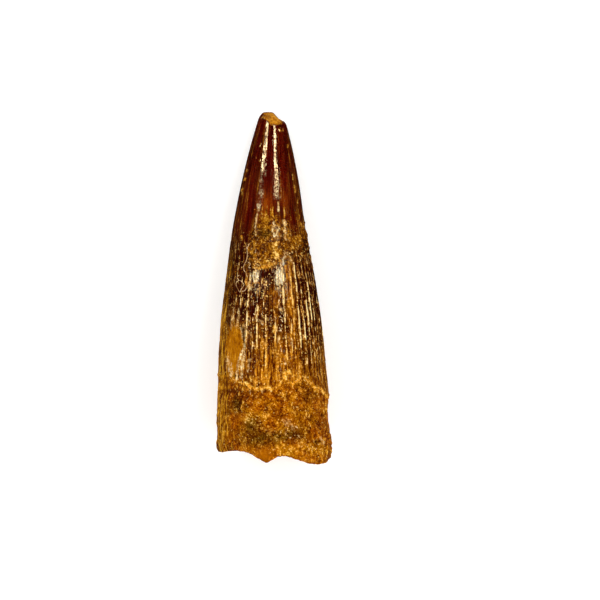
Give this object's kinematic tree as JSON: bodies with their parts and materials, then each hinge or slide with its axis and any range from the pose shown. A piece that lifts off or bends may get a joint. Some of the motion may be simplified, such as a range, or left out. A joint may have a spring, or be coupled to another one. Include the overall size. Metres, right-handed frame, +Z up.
{
  "type": "spinosaurus tooth",
  "caption": "Fossil spinosaurus tooth with a fluted, slightly curved crown, a broken tip and a stump of sandy root, lying on its concave side.",
  "frame": {"origin": "centre of the bounding box's bottom face, on the surface that the tooth lies on", "axes": "+Y along the tooth from the root to the tip, +Z up out of the side that faces the viewer, +X to the right of someone looking down with the tip away from them"},
  "size_m": [0.0194, 0.06, 0.0163],
  "materials": {
    "fossil": "dark red-brown fluted enamel, satin to glossy, over a rough orange-brown root with sandy crust"
  },
  "bodies": {
    "root": {"tooth": "fossil"}
  },
  "joints": []
}
